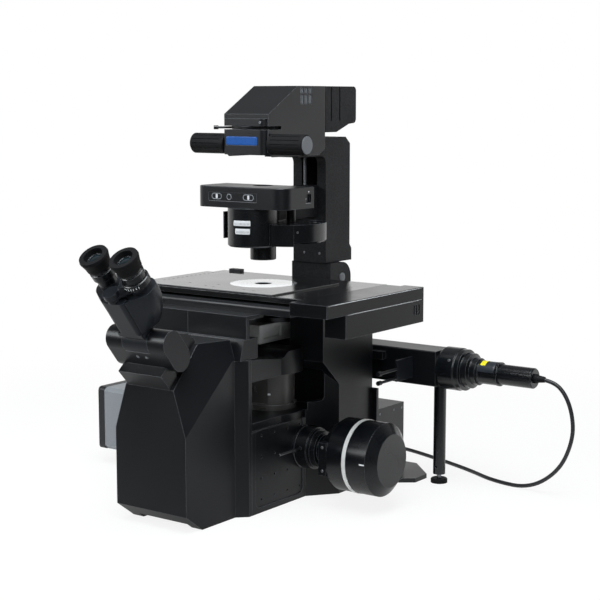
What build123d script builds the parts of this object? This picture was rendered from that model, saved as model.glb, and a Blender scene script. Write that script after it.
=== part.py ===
from build123d import *
from math import acos, atan2, cos, hypot, pi, radians, sin, tan
import os

os.makedirs("parts", exist_ok=True)

# Inverted microscope, in millimetres. While it is drawn, X = Y = 0 is the optical axis,
# Z = 0 is the bench, -Y is the side that the user sits at and +X is the side of the stage drive.

# Clearances
slide_gap = 0.3
fit_gap = 0.05
cut_over = 1.0

# Overall heights
total_height = 706.0
frame_top = 334.0
base_thick = 16.0
rail_height = 4.0
deck_thick = 12.2
stage_top = frame_top + base_thick + rail_height + deck_thick


def above_stage(share):
    """A height above the stage, as a share of the height from the stage to the very top."""
    return stage_top + share * (total_height - stage_top)


# Frame casting
front_half = 74.4
core_half = 91.0
rear_half = 128.0
front_y = -297.0
front_low = 28.6
front_foot_y = -258.0
front_top = 296.0
slope_low = 230.0
slope_top_y = -234.0
front_step_y = -174.0
front_back_y = -150.0
facet_side_low = 156.0
facet_front_half = 50.5
facet_back = (-174.5, 266.5)
step_flat = 7.4
foot_gap_half = 52.0
foot_gap_height = 8.0
casting_wall = 12.0
rear_front_y = 48.0
rear_back_y = 152.0
shoulder_z = (195.0, 240.0)
deck_centre_y = -28.0
deck_radius = core_half - 1.0
deck_bridge_half = core_half - 7.0
deck_bridge_y = -60.0
lower_deck_z = (140.0, 153.0)
band_z = (222.0, 262.0)
band_dip = 11.5
band_dip_y = (-62.0, -40.0)
cavity_half = core_half + 2.0
cavity_back_y = 50.0
window_half = rear_half - 16.5
window_low = 166.5
window_corner = 8.0
wall_x = (-130.0, 87.0)
wall_y = (-158.0, -150.0)
wall_flange = (-112.0, 6.0)
wall_foot_half = 86.0
wall_foot_y = (-173.0, -164.0, -127.0)
nose_well_half = 58.0
nose_well_y = 100.0
panel_depth = 2.0
panel_y = (-140.0, -8.0)
panel_z = (9.0, 144.0)
panel_corner = 12.0
hole_spacing = 36.0
hole_first = (-122.0, 22.0)
hole_radius = 2.0
hole_depth = 9.0
holes_covered = ((2, 2), (3, 2), (3, 1))
tower_half = 50.0
tower_back_y = 250.0
foot_plate_thick = 8.0
rear_box_half = 138.0
rear_box_y = (152.0, 243.0)
rear_box_top = 132.0
tab_top = 171.0
tab_width = 18.0

# Side ports and cameras
port_y = 0.0
port_z = 89.0
port_radius = 37.5
port_x = core_half - panel_depth
port_length = 33.0
neck_length = 32.0
drum_radius = 62.0
drum_length = 55.0
drum_ring = 7.0
drum_x = port_x + port_length + neck_length
clamp_length = 60.0
camera_x = (-362.0, -250.0)
camera_half_y = 45.0
camera_half_z = 59.0

# Stage
stage_x = (-194.0, 172.0)
stage_y = (-114.0, 130.0)
base_x = (-190.0, 152.0)
base_y = (-125.0, 128.0)
base_z = (frame_top, frame_top + base_thick)
base_round = 7.0
well_x = (-120.0, 62.0)
well_y = (-62.0, 50.0)
travel_y = 37.5
runner_x = (well_x[0] + 10.0, well_x[1] - 4.0)
runner_gap_half = 26.0
runner_y = (well_y[0] + travel_y + 2.5, well_y[1] - travel_y - 2.5)
cross_x = (well_x[0] - 10.0, well_x[1] + 13.0)
cross_half_y = 60.0
deck_stop_width = 26.0
deck_stop_depth = 12.0
deck_stop_x = stage_x[0] + 22.0
table_x = (stage_x[0], 105.0)
table_y = (stage_y[0], 80.0)
table_thick = 2.3
table_edge = 0.6
deck_top = stage_top - table_thick - slide_gap
insert_radius = 58.0
insert_hole = 15.0
insert_thick = 1.3
wing_x = 244.0
wing_y = (-155.0, 134.0)
wing_drop = 1.7
wing_thick = 21.5
motor_height = 39.0
wing_top = stage_top - wing_drop
wing_z = (wing_top - wing_thick - motor_height, wing_top - wing_thick, wing_top)
motor_x = 203.0
motor_y = -102.0

# Focus, nosepiece and filter turret
focus_half = 30.0
focus_y = (-50.0, nose_well_y - slide_gap)
focus_z = (frame_top - 66.0, frame_top - 34.0)
nose_y = 34.0
nose_radius = 48.0
nose_thick = 10.6
objective_count = 6
objective_radius = 11.5
objective_length = 32.0
turret_place = (22.0, -8.0)
turret_radius = 42.0
turret_top = 217.0

# Lamp pillar and its tilt pin
pin_place = (179.0, stage_top - 4.2)
pin_radius = 7.0
block_half = 43.0
block_y = 142.0
block_round = 28.0
hinge_gap = 0.5
pillar_half = 36.0
pillar_y = (137.0, 213.0)
pillar_z = (pin_place[1] + block_round + hinge_gap, above_stage(0.7351))
heel_depth = 6.0
heel_z = (pillar_z[0] + 21.5, pillar_z[0] + 29.5)
crown_cut = (14.0, 12.0)
channel_half = 17.0
channel_depth = 28.0
channel_z = (above_stage(0.2172), above_stage(0.638))
channel_corner = 14.0
tongue_half = 20.0
tongue_radius = 24.0
rod_place = (-12.0, 141.0)
rod_radius = 3.5

# Lamp hood, field stop and lamp house
hood_half = 47.5
hood_plate = 2.5
hood_y = (-46.0, 118.0)
hood_base = above_stage(0.8381)
hood_slant = (37.0, above_stage(0.8602))
hood_low = above_stage(0.648)
hood_front_cut = (12.0, 8.6)
hood_back_cut = (18.0, 11.2)
vent_columns = 3
vent_pitch = 12.0
vent_z = (total_height - 31.0, total_height - 15.0, total_height - 13.0, total_height - 3.0)
stop_y = (-52.0, 52.0)
stop_z = (above_stage(0.6586), hood_base)
stop_corner = (5.0, 12.0)
slot_height = 6.0
slot_z = (above_stage(0.7837), above_stage(0.7837) + slot_height)
stop_core = 29.7
ring_radius = 53.0
lever_angle = 55.0
lever_reach = 84.0
grip_place = (-36.0, above_stage(0.7116))
grip_radius = 17.5
grip_end = 120.0
lamp_half = 40.0
lamp_y = (130.0, 226.0)
lamp_low = above_stage(0.7616)
lamp_heel = 16.0
lamp_round = 8.0
lamp_axis_z = above_stage(0.8882)
badge_x = (-39.0, 28.0)
badge_z = (grip_place[1] - 2.0, grip_place[1] + 13.0)
badge_depth = 0.6

# Condenser
head_x = (-101.0, 91.0)
head_y = (-62.0, 24.0)
head_z = (above_stage(0.3938), above_stage(0.4997))
head_corner = 22.0
carriage_z = (above_stage(0.2613), above_stage(0.482))
head_panel_x = (-70.0, 34.0)
drum_place_y = -28.0
condenser_radius = 43.5
condenser_low = above_stage(0.1995)
lens_radius = 22.5
lens_low = above_stage(0.1242)
wheel_place = (38.7, 28.3)
wheel_radius = 62.0
wheel_z = (above_stage(0.2172), above_stage(0.3143))
wheel_holes = 7
knob_z = above_stage(0.4085)

# Tilting binocular tube
tilt_axis = (-309.4, 307.0)
drum_low = (-289.5, 282.0)
drum_round = 21.4
drum_half = 61.0
hub_half = 26.0
tube_angle = 53.0
eye_half = 31.5
eye_back = 23.1
eye_top = 158.0
prism_z = (31.0, 95.0)
prism_corner = (24.4, -13.0)
hinge_back = -7.5
hinge_radius = 6.0

# Illuminator arm, its leg and its lamp
arm_y = 218.0
arm_z = 211.0
arm_half_y = 28.0
arm_half_z = 31.5
arm_end_x = 236.0
slider_x = (184.0, 188.0)
slider_z = (arm_z - 20.0, arm_z + 18.0)
slider_reach = 50.0
collar_length = 75.0
label_length = 41.0
lamp_length = 65.0
stem_radius = 4.0
leg_x = 230.0
leg_radius = 11.0
leg_low = 16.0
lamp_end_x = arm_end_x + collar_length + label_length + lamp_length

# Cable
cable_radius = 3.5
coil_place = (-10.0, 347.0)
coil_turns = (35.0, 42.0)
coil_layers = 2
plug_radius = 10.5


def block(x, y, z):
    """A box between low and high values along each axis."""
    size = Box(x[1] - x[0], y[1] - y[0], z[1] - z[0])
    return Pos((x[0] + x[1]) / 2, (y[0] + y[1]) / 2, (z[0] + z[1]) / 2) * size


def upright(x, y, z, radius):
    """A cylinder along Z."""
    return Pos(x, y, (z[0] + z[1]) / 2) * Cylinder(radius, z[1] - z[0])


def crosswise(x, y, z, radius):
    """A cylinder along X."""
    return Pos((x[0] + x[1]) / 2, y, z) * Rot(0, 90, 0) * Cylinder(radius, x[1] - x[0])


def side_cut(points, x):
    """An outline of (y, z) points, pulled along X."""
    face = make_face(Polyline(*points, close=True))
    return extrude(Plane.YZ.offset(x[0]) * face, x[1] - x[0])


def plan_cut(points, z):
    """An outline of (x, y) points, pulled along Z."""
    face = make_face(Polyline(*points, close=True))
    return extrude(Plane.XY.offset(z[0]) * face, z[1] - z[0])


def turned(points):
    """A lathe outline of (radius, height) points, from the axis and back to it."""
    return revolve(Plane.XZ * make_face(Polyline(*points, close=True)), Axis.Z)


def turned_x(points, x, y, z):
    """A turned piece whose heights run along +X from x."""
    return Pos(x, y, z) * Rot(0, 90, 0) * turned(points)


def mirrored_plan(points):
    """The (x, y) points of a right-hand outline, followed by their mirror image."""
    return points + [(-x, y) for x, y in reversed(points)]


def round_deck(z):
    """The round deck that carries the filter turret, bridged to the front casting."""
    disc = upright(0, deck_centre_y, z, deck_radius)
    disc = disc & block((-deck_radius, deck_radius), (front_back_y, 0), z)
    return disc + block((-deck_bridge_half, deck_bridge_half), (front_back_y, deck_bridge_y), z)


# Frame
def facet(side):
    """Everything outside the large slanted facet on one shoulder of the front casting."""
    low = Vector(side * front_half, front_y, facet_side_low)
    inner = Vector(side * facet_front_half, front_y, slope_low)
    back = Vector(side * front_half, facet_back[0], facet_back[1])
    normal = (inner - low).cross(back - low)
    if normal.X * side < 0:
        normal = -normal
    depth = total_height / 2
    return Plane(low, z_dir=normal) * Pos(0, 0, depth / 2) * Box(total_height, total_height, depth)


def frame_front():
    outline = [(front_foot_y, 0), (front_back_y, 0), (front_back_y, band_z[1]),
               (front_step_y, band_z[1]), (front_step_y, front_top), (slope_top_y, front_top),
               (front_y, slope_low), (front_y, front_low)]
    body = side_cut(outline, (-core_half, core_half))
    plan = [(front_half, front_y), (front_half, front_step_y),
            (core_half, front_back_y - step_flat), (core_half, front_back_y)]
    body = body & plan_cut(mirrored_plan(plan), (0, front_top))
    shoulders = block((-core_half, core_half), (front_y, front_step_y), (0, front_top))
    for side in (1, -1):
        body -= facet(side) & shoulders
    body -= block((-foot_gap_half, foot_gap_half), (front_y, front_step_y), (0, foot_gap_height))
    inside = front_half - casting_wall
    hollow_y = (front_foot_y + casting_wall, front_back_y - casting_wall)
    body -= block((-inside, inside), hollow_y, (0, facet_side_low))
    inside = facet_front_half - casting_wall
    return body - block((-inside, inside), hollow_y, (facet_side_low, band_z[1] - casting_wall))


def frame_core():
    body = block((-core_half, core_half), (front_back_y, 0), (0, lower_deck_z[0]))
    body += round_deck(lower_deck_z)
    panel = Rectangle(panel_y[1] - panel_y[0], panel_z[1] - panel_z[0])
    panel = fillet(panel.vertices(), panel_corner)
    for side in (1, -1):
        face = Plane((side * core_half, sum(panel_y) / 2, sum(panel_z) / 2), x_dir=(0, 1, 0),
                     z_dir=(side, 0, 0))
        recess = extrude(face * panel, -panel_depth)
        body -= recess & block((-core_half, core_half), panel_y, (panel_z[0], lower_deck_z[0]))
        seat = sorted((side * (core_half - panel_depth), side * (core_half + cut_over)))
        body -= crosswise(seat, port_y, port_z, port_radius + slide_gap)
    floor_x = core_half - panel_depth
    for column in range(4):
        for row in range(4):
            if (column, row) not in holes_covered:
                y = hole_first[0] + column * hole_spacing
                z = hole_first[1] + row * hole_spacing
                body -= crosswise((floor_x - hole_depth, floor_x + cut_over), y, z, hole_radius)
    inside = core_half - 2 * casting_wall
    body -= block((-inside, inside), (front_back_y + casting_wall, -2 * casting_wall),
                  (0, lower_deck_z[0] - casting_wall))
    spindle = (lower_deck_z[1] - casting_wall, lower_deck_z[1])
    return body - upright(turret_place[0], turret_place[1], spindle, pin_radius + fit_gap)


def frame_rear():
    outline = [(rear_front_y, 0), (rear_back_y, 0), (rear_back_y, frame_top), (0, frame_top),
               (0, shoulder_z[1]), (rear_front_y, shoulder_z[0])]
    body = side_cut(outline, (-rear_half, rear_half))
    plan = [(core_half, 0), (rear_half, rear_front_y)]
    body += plan_cut(mirrored_plan(plan), (0, band_z[0]))
    body -= block((-cavity_half, cavity_half), (-cut_over, cavity_back_y),
                  (lower_deck_z[1], band_z[0]))
    window = block((-window_half, window_half), (-cut_over, cavity_back_y), (window_low, band_z[0]))
    body -= fillet(window.edges().filter_by(Axis.Y).group_by(Axis.Z)[0], window_corner)
    body -= block((-nose_well_half, nose_well_half), (-cut_over, nose_well_y),
                  (band_z[0], frame_top))
    for side in (1, -1):
        pocket = sorted((side * (core_half - panel_depth), side * (rear_half + cut_over)))
        body -= crosswise(pocket, port_y, port_z, port_radius + 2 * slide_gap)
    inside = rear_half - 2 * casting_wall
    hollow_y = (rear_front_y + casting_wall, rear_back_y - casting_wall)
    body -= block((-inside, inside), hollow_y, (0, band_z[0] - casting_wall))
    body -= block((-inside, inside), (nose_well_y + casting_wall, hollow_y[1]),
                  (0, frame_top - casting_wall))
    tower = block((-tower_half, tower_half), (rear_back_y, tower_back_y), (foot_plate_thick, frame_top))
    inside = tower_half - casting_wall
    tower -= block((-inside, inside), (rear_back_y + casting_wall, tower_back_y - casting_wall),
                   (foot_plate_thick, frame_top - casting_wall))
    return body + tower


def turret_band():
    body = round_deck(band_z)
    body -= upright(0, 0, band_z, objective_radius + casting_wall)
    top = band_z[1] + cut_over
    start, low = (front_back_y, band_z[1] - cut_over), (band_dip_y[0], band_z[1] - band_dip)
    end = (band_dip_y[1], band_z[1])
    sweep_up = Spline(low, end, tangents=((1, 0), (1, 0)))
    outline = [Line(start, low), sweep_up, Polyline(end, (end[0], top), (start[0], top), start)]
    dip = extrude(Plane.YZ * make_face(outline), core_half + cut_over)
    return body - dip


def stage_wall():
    foot = [(wall_foot_y[0], band_z[1]), (wall_foot_y[1], front_top), (wall_foot_y[2], front_top),
            (wall_foot_y[2], band_z[1])]
    body = side_cut(foot, (-wall_foot_half, wall_foot_half))
    body += block(wall_x, wall_y, (front_top, frame_top))
    body += block(wall_x, (wall_y[0], wall_flange[0]), (frame_top - wall_flange[1], frame_top))
    seam = block((-38.0, -37.5), (wall_y[0], wall_y[0] + 1.2), (front_top, frame_top))
    return body - seam


def foot_plate():
    plan = [(150, rear_back_y), (178, 174), (198, 189), (198, 228), (142, 284)]
    return plan_cut(mirrored_plan(plan), (0, foot_plate_thick))


def rear_box():
    body = block((tower_half, rear_box_half), rear_box_y, (foot_plate_thick, rear_box_top))
    body += block((rear_box_half - tab_width, rear_box_half), (rear_box_y[0], rear_box_y[0] + 6),
                  (rear_box_top, tab_top))
    for y in (rear_box_y[0] + 12, rear_box_y[0] + 58, rear_box_y[1] - 6):
        body -= crosswise((rear_box_half - 4, rear_box_half), y, rear_box_top - 10, 2.2)
    return body - block((tower_half + 4, rear_box_half - 4), (rear_box_y[0] + 4, rear_box_y[1] - 4),
                        (foot_plate_thick, rear_box_top - 4))


# Stage
def stage_base():
    body = block(base_x, base_y, base_z)
    edges = body.edges().filter_by(Axis.X).group_by(Axis.Y)[0].group_by(Axis.Z)[-1]
    body = fillet(edges, base_round)
    rail = 10.0
    top = stage_top - deck_thick
    for low in (base_x[0], base_x[1] - rail):
        body += block((low, low + rail), (stage_y[0] + rail, base_y[1]), (base_z[1], top))
    return body - block((-nose_well_half, nose_well_half), (-20, nose_well_y - 5), base_z)


def stage_deck():
    z = (stage_top - deck_thick, deck_top)
    body = block(stage_x, stage_y, z)
    body = chamfer(body.edges().group_by(Axis.Z)[-1], 0.8)
    return body - block(well_x, well_y, z)


def deck_stop():
    x = (deck_stop_x, deck_stop_x + deck_stop_width)
    return block(x, (stage_y[1] - deck_stop_depth, stage_y[1]), (deck_top, stage_top + 2.5))


def stage_drive():
    body = block((stage_x[1] + slide_gap, wing_x), wing_y, (wing_z[1], wing_z[2]))
    body = chamfer(body.edges().group_by(Axis.Z)[-1], 0.8)
    notch = block((stage_x[1], wing_x - 38), (wing_y[1] - 14, wing_y[1]), (wing_z[1], wing_z[2]))
    body -= notch
    tongue = block((base_x[1], stage_x[1] + slide_gap), (stage_y[0] + 8, stage_y[1]),
                   (wing_z[1], stage_top - deck_thick))
    body += tongue + block((motor_x, wing_x), (motor_y, wing_y[1]), (wing_z[0], wing_z[1]))
    for slot in range(3):
        y = wing_y[1] - 12 - 8 * slot
        body -= block((wing_x - 6, wing_x), (y - 4, y), (wing_z[0] + 14, wing_z[1] - 7))
    return body


def stage_carriage():
    z = (base_z[1] + slide_gap, stage_top - deck_thick - slide_gap)
    body = block(cross_x, (-cross_half_y, cross_half_y), z)
    for x in ((runner_x[0], -runner_gap_half), (runner_gap_half, runner_x[1])):
        body += block(x, runner_y, (z[1], deck_top))
    return body - block((-18, 18), (-53, 53), z)


def stage_table():
    z = (stage_top - table_thick, stage_top)
    body = block(table_x, table_y, z)
    body = chamfer(body.edges().group_by(Axis.Z)[-1], table_edge)
    body -= upright(0, 0, (z[1] - insert_thick, z[1]), insert_radius + fit_gap)
    return body - upright(0, 0, z, insert_radius - 5)


def stage_insert():
    z = (stage_top - insert_thick, stage_top)
    return upright(0, 0, z, insert_radius) - upright(0, 0, z, insert_hole)


# Focus unit, nosepiece and filter turret
def focus_unit():
    body = block((-focus_half, focus_half), focus_y, focus_z)
    body -= upright(0, 0, focus_z, objective_radius + 3)
    body -= upright(0, nose_y, (focus_z[1] - casting_wall, focus_z[1]), pin_radius + fit_gap)
    window = block((focus_half - 4, focus_half), (-38, 12), (focus_z[0] + 8, focus_z[1] - 6))
    return body - window


def nosepiece():
    low = focus_z[1] + slide_gap
    body = upright(0, nose_y, (low, low + nose_thick), nose_radius)
    body = chamfer(body.edges().group_by(Axis.Z)[-1], 3)
    body += upright(0, nose_y, (focus_z[1] - casting_wall + cut_over, low), pin_radius)
    top = low + nose_thick
    outline = [(0, 0), (objective_radius, 0), (objective_radius, objective_length - 12),
               (objective_radius - 5, objective_length), (0, objective_length)]
    for index in range(objective_count):
        angle = radians(360 / objective_count * index - 90)
        body += Pos(nose_y * cos(angle), nose_y + nose_y * sin(angle), top) * turned(outline)
    return body


def filter_turret():
    low = lower_deck_z[1] + slide_gap
    body = upright(turret_place[0], turret_place[1], (low, turret_top), turret_radius)
    body = chamfer(body.edges().group_by(Axis.Z)[-1], 2)
    body += upright(turret_place[0], turret_place[1], (low, low + 9), turret_radius + 3)
    body += upright(turret_place[0], turret_place[1], (low - 10, low), pin_radius)
    flat = Pos(turret_place[0], turret_place[1], (low + turret_top) / 2 + 2) * Rot(0, 0, 8)
    body -= flat * Pos(0, -turret_radius, 0) * Box(44, 6, turret_top - low - 18)
    body -= flat * Pos(-8, 3 - turret_radius, 2) * Box(4, 6, 10)
    return body


# Lamp pillar
def hinge_block():
    y, z = pin_place
    back = y + block_round
    body = block((-block_half, block_half), (block_y, back), (frame_top, z))
    body += block((-block_half, block_half), (block_y, y), (z, z + block_round))
    body += crosswise((-block_half, block_half), y, z, block_round)
    slot = (-tongue_half - slide_gap, tongue_half + slide_gap)
    body -= block(slot, (y - tongue_radius - cut_over, back), (z - tongue_radius - cut_over, pillar_z[0]))
    return body + crosswise((-block_half, block_half + 0.4), y, z, pin_radius)


def pillar():
    heel = pillar_y[1] + heel_depth
    outline = [(pillar_y[0], pillar_z[0]), (heel, pillar_z[0]), (heel, heel_z[0]), (pillar_y[1], heel_z[1]),
               (pillar_y[1], pillar_z[1] - crown_cut[1]), (pillar_y[1] - crown_cut[0], pillar_z[1]),
               (stop_y[1], pillar_z[1]), (stop_y[1], channel_z[1]), (pillar_y[0], channel_z[1])]
    body = side_cut(outline, (-pillar_half, pillar_half))
    inner = body.edges().filter_by(Axis.X).sort_by_distance((0, pillar_y[0], channel_z[1]))[0]
    body = fillet(inner, channel_corner)
    body -= block((-channel_half, channel_half),
                  (pillar_y[0] - channel_corner - cut_over, pillar_y[0] + channel_depth), channel_z)
    y, z = pin_place
    tongue = crosswise((-tongue_half, tongue_half), y, z, tongue_radius)
    tongue += block((-tongue_half, tongue_half), (y - tongue_radius, y + tongue_radius), (z, pillar_z[0]))
    body += tongue - crosswise((-tongue_half, tongue_half), y, z, pin_radius + fit_gap)
    for x in (-12, 22):
        body -= Pos(x, pillar_y[0], pillar_z[0] + 17.5) * Rot(90, 0, 0) * Cylinder(2.5, 4)
    shaft = (-pillar_half, -channel_half)
    return body - crosswise(shaft, knob_y(), knob_z, pin_radius + fit_gap)


def knob_y():
    return pillar_y[0] + channel_depth - pin_radius - 6


def pillar_rod():
    return upright(rod_place[0], rod_place[1], channel_z, rod_radius)


def lamp_hood():
    side = [(hood_y[0], hood_low + hood_front_cut[1]), (hood_y[0], hood_slant[1]),
            (hood_slant[0], total_height), (hood_y[1], total_height),
            (hood_y[1], hood_low + hood_back_cut[1]), (hood_y[1] - hood_back_cut[0], hood_low),
            (hood_y[0] + hood_front_cut[0], hood_low)]
    body = side_cut(side, (-hood_half, hood_half))
    inside = hood_half - hood_plate
    body -= block((-inside, inside), (hood_y[0] - cut_over, stop_y[1]), (hood_low, hood_base))
    body -= block((-pillar_half, pillar_half), (stop_y[1], hood_y[1]), (hood_low, pillar_z[1]))
    body -= block((-hood_half, hood_half), (hood_y[0] - cut_over, hood_y[0] + 36), slot_z)
    body -= block((-inside, inside), (stop_y[1] + 8, hood_y[1] - 12), (pillar_z[1] + 12, total_height - 12))
    for column in range(vent_columns):
        y = hood_slant[0] + 8 + column * vent_pitch
        for z in (vent_z[:2], vent_z[2:]):
            body -= block((hood_half - 1.6, hood_half), (y, y + vent_pitch - 2.5), z)
    return body


def field_stop():
    body = block((-hood_half + hood_plate, hood_half - hood_plate), stop_y, stop_z)
    for end, radius in ((0, stop_corner[0]), (-1, stop_corner[1])):
        corners = body.edges().filter_by(Axis.Z).group_by(Axis.Y)[0].sort_by(Axis.X)
        body = fillet(corners[end], radius)
    slot = block((-hood_half, hood_half), (stop_y[0], stop_y[1]), slot_z)
    body -= slot - upright(0, 0, slot_z, stop_core)
    body -= upright(0, 0, (stop_z[0], stop_z[1]), stop_core - 8)
    return body - block(badge_x, (stop_y[0], stop_y[0] + badge_depth), badge_z)


def field_ring():
    z = (slot_z[0] + slide_gap, slot_z[1] - slide_gap)
    body = upright(0, 0, z, hood_half - hood_plate - 1)
    half = lever_angle + 5
    reach = ring_radius * 1.6
    wedge = [(0, 0), (reach * sin(radians(half)), -reach * cos(radians(half))), (0, -2 * reach),
             (-reach * sin(radians(half)), -reach * cos(radians(half)))]
    body += upright(0, 0, z, ring_radius) & plan_cut(wedge, z)
    body -= upright(0, 0, z, stop_core + slide_gap)
    lever = Rot(0, 0, -lever_angle) * Pos(0, -ring_radius, sum(z) / 2) * Rot(90, 0, 0)
    shank = lever * Pos(0, 0, (lever_reach - ring_radius) / 2 - 2) * Cylinder(2, lever_reach - ring_radius)
    knob = lever * Pos(0, 0, lever_reach - ring_radius - 4) * Cylinder(3.4, 8)
    return body + shank + knob


def grip(side):
    x = sorted((side * hood_half, side * grip_end))
    body = crosswise(x, grip_place[0], grip_place[1], grip_radius)
    body = chamfer(body.edges().filter_by(GeomType.CIRCLE), 1.5)
    ribs = sorted((side * (hood_half + 8), side * (grip_end - 6)))
    count = 14
    for index in range(count):
        angle = 2 * pi * index / count
        y = grip_place[0] + grip_radius * cos(angle)
        z = grip_place[1] + grip_radius * sin(angle)
        body -= crosswise(ribs, y, z, 1.1)
    return body


def lamp_house():
    outline = [(lamp_y[0], lamp_low), (lamp_y[0] + 34, lamp_low), (lamp_y[1] - 23, lamp_low + lamp_heel - 2),
               (lamp_y[1], lamp_low + lamp_heel), (lamp_y[1], total_height), (lamp_y[0], total_height)]
    body = side_cut(outline, (-lamp_half, lamp_half))
    body = fillet(body.edges().filter_by(Axis.X).group_by(Axis.Y)[-1], lamp_round)
    for y in (lamp_y[0] + 16, lamp_y[0] + 42):
        for side in (1, -1):
            x = sorted((side * (lamp_half - 3), side * lamp_half))
            body -= block(x, (y, y + 4), (lamp_low + lamp_heel + 4, total_height))
    neck = Pos(0, (hood_y[1] + lamp_y[0]) / 2, lamp_axis_z) * Rot(90, 0, 0)
    return body + neck * Cylinder(24, lamp_y[0] - hood_y[1])


# Condenser
def condenser_carriage():
    half = channel_half - slide_gap
    back = pillar_y[0] + channel_depth - slide_gap
    body = block((-half, half), (pillar_y[0] - cut_over, back), carriage_z)
    body += block((-half, half), (head_y[1], pillar_y[0] - cut_over), (carriage_z[0] + 20, carriage_z[1]))
    return body - upright(rod_place[0], rod_place[1], carriage_z, rod_radius + fit_gap)


def condenser_head():
    plan = Pos(sum(head_x) / 2, sum(head_y) / 2) * Rectangle(head_x[1] - head_x[0], head_y[1] - head_y[0])
    plan = fillet(plan.vertices().group_by(Axis.Y)[0], head_corner)
    body = extrude(Plane.XY.offset(head_z[0]) * plan, head_z[1] - head_z[0])
    body = chamfer(body.edges().group_by(Axis.Z)[-1], 1)
    body -= upright(0, 0, head_z, 18)
    panel = block(head_panel_x, (head_y[0], head_y[0] + 0.8), (head_z[0] + 11, head_z[1] - 10))
    latch = block((head_x[1] - 4, head_x[1]), (head_y[1] - 24, head_y[1] - 8), (head_z[0] + 8, head_z[0] + 24))
    x, y = wheel_place
    lug = block((focus_half + slide_gap, x + 14), (head_y[1], y + 12), (head_z[0], head_z[0] + 15))
    spindle = upright(x, y, (wheel_z[0], head_z[0]), pin_radius)
    collar = upright(x, y, (wheel_z[1] + slide_gap, head_z[0]), x - focus_half - slide_gap)
    return body - panel - latch + lug + spindle + collar


def cover_wedge():
    """The sector of the wheel that its fixed cover wraps, between two angles."""
    reach = 2 * wheel_radius
    angles = (200, 255, 311)
    return [(0, 0)] + [(reach * cos(radians(angle)), reach * sin(radians(angle))) for angle in angles]


def condenser_drum():
    z = (condenser_low, head_z[0])
    body = upright(0, drum_place_y, z, condenser_radius)
    body = chamfer(body.edges().group_by(Axis.Z)[0], 2.5)
    cover_z = (wheel_z[0] - 4, wheel_z[1])
    cover = upright(wheel_place[0], wheel_place[1], cover_z, wheel_radius + 4)
    body += cover & Pos(wheel_place[0], wheel_place[1], 0) * plan_cut(cover_wedge(), cover_z)
    room = upright(wheel_place[0], wheel_place[1], (wheel_z[0] - slide_gap, wheel_z[1] + slide_gap),
                   wheel_radius + slide_gap)
    body -= room
    body -= upright(0, 0, (wheel_z[1], head_z[0]), 18)
    body -= upright(0, 0, (condenser_low, wheel_z[0]), 15)
    plate_x = (-condenser_radius - 6, -condenser_radius - 3)
    plate_z = (condenser_low + 12, head_z[0] - 8)
    body += block(plate_x, (drum_place_y - 20, drum_place_y + 20), plate_z)
    strut_half = 0.2175 * (plate_z[1] - plate_z[0])
    strut_z = (sum(plate_z) / 2 - strut_half, sum(plate_z) / 2 + strut_half)
    return body + block((plate_x[1], -condenser_radius + 1), (drum_place_y - 5, drum_place_y + 5), strut_z)


def condenser_lens():
    outline = [(0, 0), (lens_radius - 1, 0), (lens_radius, 1), (lens_radius, condenser_low - lens_low),
               (0, condenser_low - lens_low)]
    return Pos(0, 0, lens_low) * turned(outline)


def condenser_wheel():
    x, y = wheel_place
    body = upright(x, y, wheel_z, wheel_radius)
    body = chamfer(body.edges().group_by(Axis.Z)[0], 3)
    distance = hypot(x, y)
    for index in range(wheel_holes):
        angle = pi + 2 * pi * index / wheel_holes
        place = Pos(distance * cos(angle), distance * sin(angle), 0)
        body -= Pos(x, y, sum(wheel_z) / 2) * Rot(0, 0, 36.18) * place * Cylinder(12, wheel_z[1] - wheel_z[0])
    return body - upright(x, y, wheel_z, pin_radius + fit_gap)


def condenser_knob():
    x = -pillar_half - slide_gap
    body = crosswise((x - 22, x), knob_y(), knob_z, 16)
    body = chamfer(body.edges().filter_by(GeomType.CIRCLE), 1.5)
    return body + crosswise((x, -channel_half - slide_gap), knob_y(), knob_z, pin_radius)


# Tilting binocular tube
tube_frame = Plane((0, tilt_axis[0], tilt_axis[1]), x_dir=(1, 0, 0),
                   z_dir=(0, -cos(radians(tube_angle)), sin(radians(tube_angle))))


def stadium(x, radius):
    """The rounded slab of the tilt drum: two rounds and the flat sides between them."""
    dy, dz = drum_low[0] - tilt_axis[0], drum_low[1] - tilt_axis[1]
    length = hypot(dy, dz)
    ny, nz = -dz / length * radius, dy / length * radius
    sides = [(tilt_axis[0] + ny, tilt_axis[1] + nz), (drum_low[0] + ny, drum_low[1] + nz),
             (drum_low[0] - ny, drum_low[1] - nz), (tilt_axis[0] - ny, tilt_axis[1] - nz)]
    body = crosswise(x, tilt_axis[0], tilt_axis[1], radius)
    body += crosswise(x, drum_low[0], drum_low[1], radius)
    return body + side_cut(sides, x)


def tube_mount():
    chin_back = -280.0
    slope = (front_top - slope_low) / (slope_top_y - front_y)
    chin = [(front_y, slope_low), (-320, 255), (-306, 267), (-287, 262),
            (chin_back, slope_low + (chin_back - front_y) * slope)]
    body = side_cut(chin, (-45, 45))
    cheek = [(front_y, slope_low), (-306, 267), (-274, 317.5), (-249, 314), (-232, 302), (-232, front_top),
             (slope_top_y, front_top)]
    body += side_cut(cheek, (-40, 40))
    body -= stadium((-drum_half - cut_over, drum_half + cut_over), drum_round + 0.2)
    return body


def tube_drum():
    body = stadium((-drum_half, drum_half), drum_round)
    body = body - crosswise((-hub_half - slide_gap, hub_half + slide_gap), tilt_axis[0], tilt_axis[1],
                            drum_round + slide_gap)
    return body - crosswise((-hub_half - 6, hub_half + 6), tilt_axis[0], tilt_axis[1], pin_radius + fit_gap)


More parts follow.
